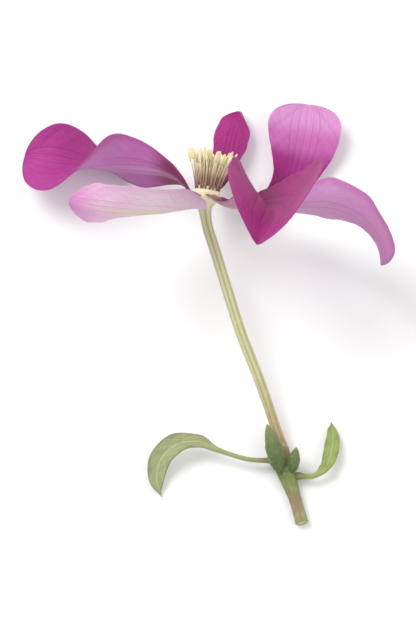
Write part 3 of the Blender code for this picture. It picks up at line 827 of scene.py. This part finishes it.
# Leaf tissue: duller above, paler below, with pale veins, a fine net, and tinted margins.
def leafMaterial(name, leaf):
    form = leafForm
    made, place, share, side, face = startMaterial(name + "_tissue")
    away = calc("ABSOLUTE", side)
    mottle = noiseOn(place, form["mottle"], 4.0)
    blade = nodeFade(share, *leaf["flatten"])
    lines = calc("MAXIMUM", veinLines(form, share, away), nodeFade(away, *form["midribLine"]),
                 netOn(place, form["net"], *form["netLine"]))
    lines = times(lines, blade)
    colour = twoFaces(leaf["upper"], leaf["lower"], face)
    colour = mixed(colour, leaf["vein"], times(lines, form["veinShare"]))
    colour = tinted(colour, away, leaf["edge"], *form["edgeFade"], within=blade)
    colour = tinted(colour, mottle, *form["shade"])
    colour = tinted(colour, share, *form["base"])
    return finishMaterial(made, form, colour, plus(times(lines, -0.6), mottle), mottle)


for node, leaf in leaves.items():
    piece = node + "_blade"
    addPiece(piece, [leafShell(piece, leaf)], leafMaterial(node, leaf), node)
print("Leaves: two small leaves with round leaf stalks")


# Two buds in the leaf axils at the node: where each starts, which way it points, its length
# and its half width.
budForm = dict(
    buds=(((0.0122, -0.0464, 0.0028), (-0.25, 0.94, 0.20), 0.0086, 0.00122),
          ((0.0142, -0.0462, 0.0026), (0.16, 0.97, 0.18), 0.0044, 0.00085)),
    rows=72, sides=40, bow=0.0005,
    scales=3.0, scaleSlant=0.30, lap=0.13, keel=0.08,
    mottle=1400.0, furrows=(4.0, 60.0),
    skin=((0.0, 64, 84, 32), (0.5, 80, 100, 44), (1.0, 118, 128, 74)),
    furrow=((111, 124, 69), 0.45, 0.8, 0.5), fleck=((139, 149, 97), 0.5, 0.8, 0.4),
    edge=((122, 108, 70), 0.86, 1.0, 0.45), edgeEnd=(0.98, 0.8), bump=0.00007,
    gloss={"Roughness": 0.58, "Sheen Weight": 0.25},
)


# Middle lines and radii: root + way * length * t, bowed by 4 * bow * t * (1 - t), and
# radius = half * sin(pi * t^0.8)^0.75, not quite closed at the ends.
def budLines():
    root, way, length, half = (np.array(part)[:, None] for part in zip(*budForm["buds"]))
    t = np.linspace(0.0, 1.0, budForm["rows"])[None]
    path = under + root + unit(way) * (length * t)[..., None]
    path[..., 2] += budForm["bow"] * 4 * t * (1 - t)
    return path, half * np.clip(np.sin(math.pi * (0.03 + 0.965 * t**0.8)), 0.0, 1.0)**0.75


# Scales that overlap like tiles: lapped = fraction of (scales * t + slant * cos 2 turn), and the
# radius grows by lap * lapped^1.5, so that it steps in where a scale ends.
def budMesh(name):
    path, radius = budLines()
    turn = ringTurns(budForm["sides"])
    t = np.linspace(0.0, 1.0, budForm["rows"])[:, None]
    lapped = (budForm["scales"] * t + budForm["scaleSlant"] * np.cos(2 * turn)) % 1.0
    grown = 1 + budForm["lap"] * lapped**1.5 * fadeIn(t, 1.0, 0.8) + budForm["keel"] * np.cos(2 * turn)
    skin = radius[..., None] * grown
    points = carryProfile(path, skin, skin, upward, budForm["sides"])
    return shellMesh(name, points, t, turn / (2 * math.pi), lapped)


# Green bud scales with a paler tip, fine furrows and a brown edge where each scale ends.
def budMaterial():
    form = budForm
    made, place, share, turn, lapped = startMaterial("bud_scales")
    mottle = noiseOn(place, form["mottle"], 4.0)
    furrows = noiseOn(skinPlace(share, turn, form["furrows"]), detail=2.0)
    colour = colourRun(share, form["skin"])
    colour = tinted(colour, furrows, *form["furrow"])
    colour = tinted(colour, mottle, *form["fleck"])
    colour = tinted(colour, lapped, *form["edge"], within=nodeFade(share, *form["edgeEnd"]))
    return finishMaterial(made, form, colour, plus(furrows, times(mottle, 0.6)))


addPiece("node_buds", [budMesh("node_buds")], budMaterial())
print("Buds: two scaly buds at the node")


# Stamens and styles stand in rings round the bloom's axis: how many, how far out, lean in
# degrees, length.
brushForm = dict(
    foot=0.0011, lengthSpread=(0.90, 1.03), leanSpread=2.5, turnSpread=0.12, sway=0.18,
    stamenRings=((25, 0.00200, 20, 0.0069), (19, 0.00170, 13, 0.0066), (14, 0.00140, 8, 0.0062),
                 (11, 0.00112, 4, 0.0058)),
    stamenRows=24, stamenSeed=7, antherShare=0.28, overlap=0.02,
    filamentRows=12, filamentSides=8, filamentWide=0.00016, filamentThick=0.00009,
    filamentTaper=0.45,
    antherRows=14, antherSides=12, antherWide=0.000255, antherThick=0.00022, lobe=0.28,
    collar=((0.00196, 0.00104), (0.00202, 0.00120), (0.00192, 0.00150), (0.00162, 0.00186),
            (0.00122, 0.00216), (0.00090, 0.00252), (0.00064, 0.00284), (0.00034, 0.00304),
            (0.00002, 0.00308)),               # radius and height of the dome that carries them
    collarRows=40, collarSides=40, flutes=20, fluteDepth=0.03,
    pollen=9000.0, bump=0.00004,
    # The dark foot of the filament run is partly the filaments' own colour and partly painted shade deep in
    # the bloom's centre.
    filament=((0.0, 132, 90, 86), (0.35, 172, 136, 116), (0.70, 216, 202, 166),
              (1.0, 240, 234, 208)),
    anthers=((232, 220, 168), (242, 234, 192)), dust=((250, 242, 202), 0.5, 0.7, 0.6),
    antherTip=((206, 184, 136), 0.8, 1.0, 0.4), dome=(212, 208, 156),
    gloss={"Roughness": 0.62, "Specular IOR Level": 0.3, "Sheen Weight": 0.1},
)
styleForm = dict(
    rings=((11, 0.00062, 6, 0.0047), (8, 0.00040, 4, 0.0050), (4, 0.00016, 2, 0.0052)),
    foot=0.0019, radius=0.00013, rows=22, sides=8, seed=5, tipBend=0.0006,
    grain=6000.0, bump=0.00003,
    skin=((0.0, 158, 172, 96), (0.6, 202, 206, 140), (0.92, 222, 214, 160), (1.0, 190, 168, 110)),
    fleck=((223, 221, 177), 0.5, 0.75, 0.4), gloss={"Roughness": 0.5},
)


# Middle lines of the rods in rings: each starts at its foot and bends outward along its
# length, lean(t) = lean * (0.55 + 0.75 t) for t from 0 to 1, and sideways by sway * t^2.
def brushLines(rings, foot, rows, seed):
    spread = np.random.default_rng(seed)
    turns = [(np.arange(ring[0]) + 0.5 * k) / ring[0] for k, ring in enumerate(rings)]
    turn = 2 * math.pi * np.concatenate(turns)[:, None]
    out, lean, length = np.repeat([ring[1:] for ring in rings], [ring[0] for ring in rings], 0).T[..., None]
    turn = turn + spread.uniform(-1, 1, turn.shape) * brushForm["turnSpread"]
    lean = np.radians(lean + spread.uniform(-1, 1, turn.shape) * brushForm["leanSpread"])
    length = length * spread.uniform(*brushForm["lengthSpread"], turn.shape)
    sway = spread.uniform(-1, 1, turn.shape) * brushForm["sway"]
    tone = spread.uniform(0, 1, turn.shape)
    t = np.linspace(0.0, 1.0, rows)[None]
    angle = (lean * (0.55 + 0.75 * t))[:, 1:]
    run, rise = (np.concatenate([0 * turn, np.cumsum(part * length / (rows - 1), axis=1)], axis=1)
                 for part in (np.sin(angle), np.cos(angle)))
    radial = awayFromAxis(turn + sway * t**2)
    path = centre + axis * (foot + rise)[..., None] + radial * (out + run)[..., None]
    return path, np.cross(radial, axis), tone


# Part of a set of lines, from one share of the length to another, with its own row count.
def partOfLines(path, start, stop, rows):
    place = np.linspace(start, stop, rows) * (path.shape[1] - 1)
    low = np.minimum(place.astype(int), path.shape[1] - 2)
    t = (place - low)[None, :, None]
    return path[:, low] * (1 - t) + path[:, low + 1] * t


# Rods along part of each line, marked with t along the part, the line's tone and the kind. Wide
# is measured round the bloom's axis and thick away from it.
def rodMesh(name, lines, part, wide, thick, sides, kind=0.0):
    path, facing, tone = lines
    rows = wide.shape[1]
    path, facing = (partOfLines(line, *part, rows) for line in (path, facing))
    facing = np.cross(facing, unit(np.gradient(path, axis=1)))
    t = np.linspace(0, 1, rows)[None, :, None]
    return shellMesh(name, carryProfile(path, wide, thick, facing, sides), t, tone[..., None], kind)


# Filaments are flat ribbons that narrow upwards. An anther has two lobes side by side:
# radius * (1 + lobe*cos(2 turn)), sin(pi t)^0.4 thick along its length.
def stamenMeshes():
    form = brushForm
    lines = brushLines(form["stamenRings"], form["foot"], form["stamenRows"], form["stamenSeed"])
    split = 1 - form["antherShare"]
    taper = 1 - form["filamentTaper"] * np.linspace(0, 1, form["filamentRows"])[None, :, None]
    t = np.linspace(0, 1, form["antherRows"])[None, :, None]
    body = np.clip(np.sin(math.pi * (0.04 + 0.92 * t)), 0, 1)**0.4
    body = body * (1 + form["lobe"] * np.cos(2 * ringTurns(form["antherSides"])))
    return [rodMesh("filaments", lines, (0.0, split + form["overlap"]), form["filamentWide"] * taper,
                    form["filamentThick"] * taper, form["filamentSides"]),
            rodMesh("anthers", lines, (split, 1.0), form["antherWide"] * body,
                    form["antherThick"] * body, form["antherSides"], 1.0)]


# The dome turned round the bloom's axis: a profile of radius * (1 + depth * cos(flutes * turn))
# and height.
def collarMesh():
    profile = smoothRoute(brushForm["collar"], np.linspace(0, 1, brushForm["collarRows"]))
    turn = ringTurns(brushForm["collarSides"])
    flutes = 1 + brushForm["fluteDepth"] * np.cos(brushForm["flutes"] * turn)[None, :, None]
    points = centre + axis * profile[:, None, 1:] + awayFromAxis(turn) * profile[:, None, :1] * flutes
    return shellMesh("collar", points[None], 0.0, 0.0, 0.5)


# Filaments brown-mauve at the foot, which is partly painted shade deep in the bloom's centre, and cream
# above, and cream anthers dusted with pollen. The kind is 0 on a filament, 0.5 on the dome and 1 on an
# anther.
def stamenMaterial():
    form = brushForm
    made, place, share, tone, kind = startMaterial("stamen_cream")
    pollen = noiseOn(place, form["pollen"], 2.0)
    anther = mixed(*form["anthers"], tone)
    anther = tinted(anther, pollen, *form["dust"])
    anther = tinted(anther, share, *form["antherTip"])
    colour = tinted(colourRun(share, form["filament"]), kind, anther, 0.6, 0.9)
    colour = tinted(colour, kind, form["dome"], 0.3, 0.5, within=nodeFade(kind, 0.7, 0.5))
    return finishMaterial(made, form, colour, pollen)


# Styles: slim rods of radius * (1.25 - 0.75 t), bent in over the axis at the tip, where the stigma
# thickens them. Their lines are returned for the silk.
def styleMesh():
    path, facing, tone = brushLines(styleForm["rings"], styleForm["foot"], styleForm["rows"],
                                    styleForm["seed"])
    t = np.linspace(0, 1, styleForm["rows"])[None, :, None]
    path -= np.cross(axis, facing) * styleForm["tipBend"] * fadeIn(t, 0.7, 1.0)**2
    radius = styleForm["radius"] * (1.25 - 0.75 * t + 0.35 * peak(t - 0.98, 0.05))
    return rodMesh("styles", (path, facing, tone), (0.0, 1.0), radius, radius, styleForm["sides"]), path


# Green-yellow styles that pale upwards.
def styleMaterial():
    made, place, share, *_ = startMaterial("style_green")
    grain = noiseOn(place, styleForm["grain"])
    colour = tinted(colourRun(share, styleForm["skin"]), grain, *styleForm["fleck"])
    return finishMaterial(made, styleForm, colour, grain)


addPiece("stamen_brush", stamenMeshes() + [collarMesh()], stamenMaterial(), "stamens")
styles, stylePath = styleMesh()
addPiece("style_bundle", [styles], styleMaterial(), "pistils")


# Hairs: how many, lengths, radius, and the colours at foot and tip.
silk = dict(
    each=16, rows=(1, 15), spread=0.55, bend=0.2,
    length=(0.0004, 0.0009), radius=0.000014, foot=(226, 228, 196), tip=(250, 250, 240),
)
stalkDown = dict(
    stem=1500, buds=260, petioles=120, petioleRows=40, skipTop=14,
    lean=0.5, scatter=0.3,
    length=(0.00020, 0.00052), radius=0.000011, foot=(206, 208, 172), tip=(244, 244, 228),
)
hairForm = dict(rows=4, sides=3, taper=0.85, bend=0.35, clear=0.0003, gloss={"Roughness": 0.5}, through=0.4)


# Fine hairs, each a three-sided taper that bends over: root + (way*t + bend*t^2) * length.
def hairMesh(name, root, way, bend, form):
    length = draw.uniform(*form["length"], len(root))[:, None, None]
    t = np.linspace(0, 1, hairForm["rows"])[None, :, None]
    path = root[:, None] + (way[:, None] * t + bend[:, None] * t**2) * length
    thin = form["radius"] * (1 - hairForm["taper"] * t)
    facing = np.cross(way, bend + way[:, [1, 2, 0]] * 0.3)[:, None]      # square to the hair
    return shellMesh(name, carryProfile(path, thin, thin, facing, hairForm["sides"]), t)


# Hair and silk: pale and thin, and light passes through.
def hairMaterial(name, form):
    made, _, share, *_ = startMaterial(name)
    colour = colourRun(share, ((0.0, *form["foot"]), (1.0, *form["tip"])))
    return finishMaterial(made, hairForm, colour)


# Silk on the lower two thirds of each style: way = axis + spread * a random direction square to it.
def addSilk():
    row = draw.integers(*silk["rows"], (len(stylePath), silk["each"]))
    root = np.take_along_axis(stylePath, row[..., None], axis=1).reshape(-1, 3)
    around = draw.normal(size=root.shape)
    around = unit(around - (around @ axis)[:, None] * axis)
    mesh = hairMesh("style_silk", root, unit(axis + silk["spread"] * around), silk["bend"] * around, silk)
    addPiece("style_silk", [mesh], hairMaterial("silk_white", silk))


# Roots spread over a tube: path + radius * (across * cos + up * sin) at random rows and turns,
# and each hair way = outward + lean * along + a little at random, length one.
def tubeRoots(path, radius, count):
    along = unit(np.gradient(path, axis=0))
    across = unit(np.cross(along, upward))
    up = np.cross(across, along)
    row = draw.integers(1, len(path) - 1, count)
    turn = draw.uniform(0.0, 2 * math.pi, count)[:, None]
    outward = across[row] * np.cos(turn) + up[row] * np.sin(turn)
    scatter = stalkDown["scatter"] * draw.normal(size=(count, 3))
    return path[row] + outward * radius[row][:, None], unit(
        outward + stalkDown["lean"] * along[row] + scatter)


# The roots on all the green parts: the stalk up to the receptacle, the buds and the leaf stalks.
def greenRoots():
    path, radius = (line[:-stalkDown["skipTop"]] for line in stalkLine())
    tubes = [(path, radius, stalkDown["stem"])]
    tubes += [(*line, stalkDown["buds"]) for line in zip(*budLines())]
    for leaf in leaves.values():
        line = smoothRoute(leaf["route"], np.linspace(0.0, leaf["flatten"][0], stalkDown["petioleRows"]))
        tubes.append((under + line[:, :3], line[:, 3], stalkDown["petioles"]))
    return [tubeRoots(*tube) for tube in tubes]


# One piece of down from sets of roots and ways. Hairs that could reach the table are left out.
def addDown(name, form, found):
    root, way = (np.concatenate(part) for part in zip(*found))
    clear = root[:, 2] + way[:, 2] * form["length"][1] > hairForm["clear"]
    root, way = root[clear], way[clear]
    mesh = hairMesh(name, root, way, hairForm["bend"] * draw.normal(size=root.shape), form)
    addPiece(name, [mesh], hairMaterial(name, form))


addSilk()
print("Centre: stamens, styles and their silk")
addDown("green_down", stalkDown, greenRoots())
addDown("petal_down", petalDown, petalRoots)
print("Down: short hairs on the stalk, buds, leaf stalks and the backs of the tepals")


# Floor, light and camera.
studio = dict(
    floorSize=3.0, floorDrop=0.00005, gloss={"Roughness": 0.7},
    floorColour=(0.86, 0.86, 0.86, 1.0),   # linear
    sky=(1.0, 1.0, 1.0, 1.0), skyStrength=0.72,
    lamps={
        "keyLamp": dict(place=(-0.55, 0.35, 0.95), size=0.7, power=9.0),
        "fillLamp": dict(place=(0.7, -0.2, 0.7), size=0.8, power=3.0),
    },
    look=(68.0, 1.8, 627.0),            # elevation in degrees, distance, lens in mm
    aim=(0.0, -0.0016, 0.006),
)


# A square floor a hair below the table's level, a white sky, and lamps that look at the middle.
def addStudio():
    corners = np.array([[-1, -1, 0], [1, -1, 0], [1, 1, 0], [-1, 1, 0]]) * 0.5 * studio["floorSize"]
    corners[:, 2] = -studio["floorDrop"]
    mesh = bpy.data.meshes.new("floor")
    mesh.from_pydata(corners.tolist(), [], [(0, 1, 2, 3)])
    made = bpy.data.materials.new("pale_floor")
    made.use_nodes = True
    mesh.materials.append(finishMaterial(made, studio, studio["floorColour"]))
    placed("floor", mesh)
    world = bpy.data.worlds.new("soft_sky")
    world.use_nodes = True
    fill(world.node_tree.nodes["Background"].inputs["Color"], studio["sky"])
    fill(world.node_tree.nodes["Background"].inputs["Strength"], studio["skyStrength"])
    bpy.context.scene.world = world
    for name, lamp in studio["lamps"].items():
        light = bpy.data.lights.new(name, "AREA")
        light.energy = lamp["power"]
        light.size = lamp["size"]
        made = placed(name, light)
        made.location = lamp["place"]
        made.rotation_euler = (-made.location).to_track_quat("-Z", "Y").to_euler()


# The camera stands at aim + distance * (0, -cos, sin) of its elevation and looks back at aim.
def addCamera():
    elevation, distance, lens = studio["look"]
    elevation = math.radians(elevation)
    back = Vector((0.0, -math.cos(elevation), math.sin(elevation)))
    data = bpy.data.cameras.new("camera")
    data.lens = lens
    camera = placed("camera", data)
    camera.location = Vector(studio["aim"]) + back * distance
    camera.rotation_euler = (-back).to_track_quat("-Z", "Y").to_euler()
    bpy.context.scene.camera = camera


addStudio()
addCamera()
bpy.context.scene.view_settings.view_transform = "Standard"
print("Studio: floor, light and camera")
